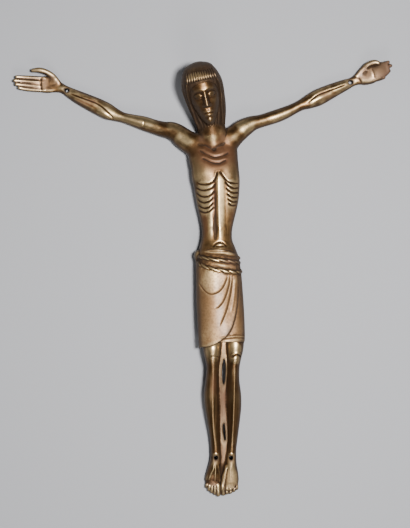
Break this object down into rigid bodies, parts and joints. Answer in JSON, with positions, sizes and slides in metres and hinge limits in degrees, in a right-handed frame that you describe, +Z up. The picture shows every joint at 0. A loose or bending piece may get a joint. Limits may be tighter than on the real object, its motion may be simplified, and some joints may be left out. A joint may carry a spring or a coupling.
{
  "type": "crucifix corpus figure",
  "caption": "Slender cast bronze crucifix figure with arms spread, bowed head, ribbed torso and knee-length loincloth, nail holes at wrists and ankles.",
  "frame": {"origin": "centre of the bounding box of the casting, on the surface it lies on", "axes": "+Z up out of the chest, +Y from the feet to the head, +X to the viewer's right, which is the figure's left hand"},
  "size_m": [0.2622, 0.302, 0.0494],
  "materials": {
    "bronze": "brown patinated cast bronze, worn to bright golden metal on high spots"
  },
  "bodies": {
    "root": {"corpus": "bronze"}
  },
  "joints": []
}
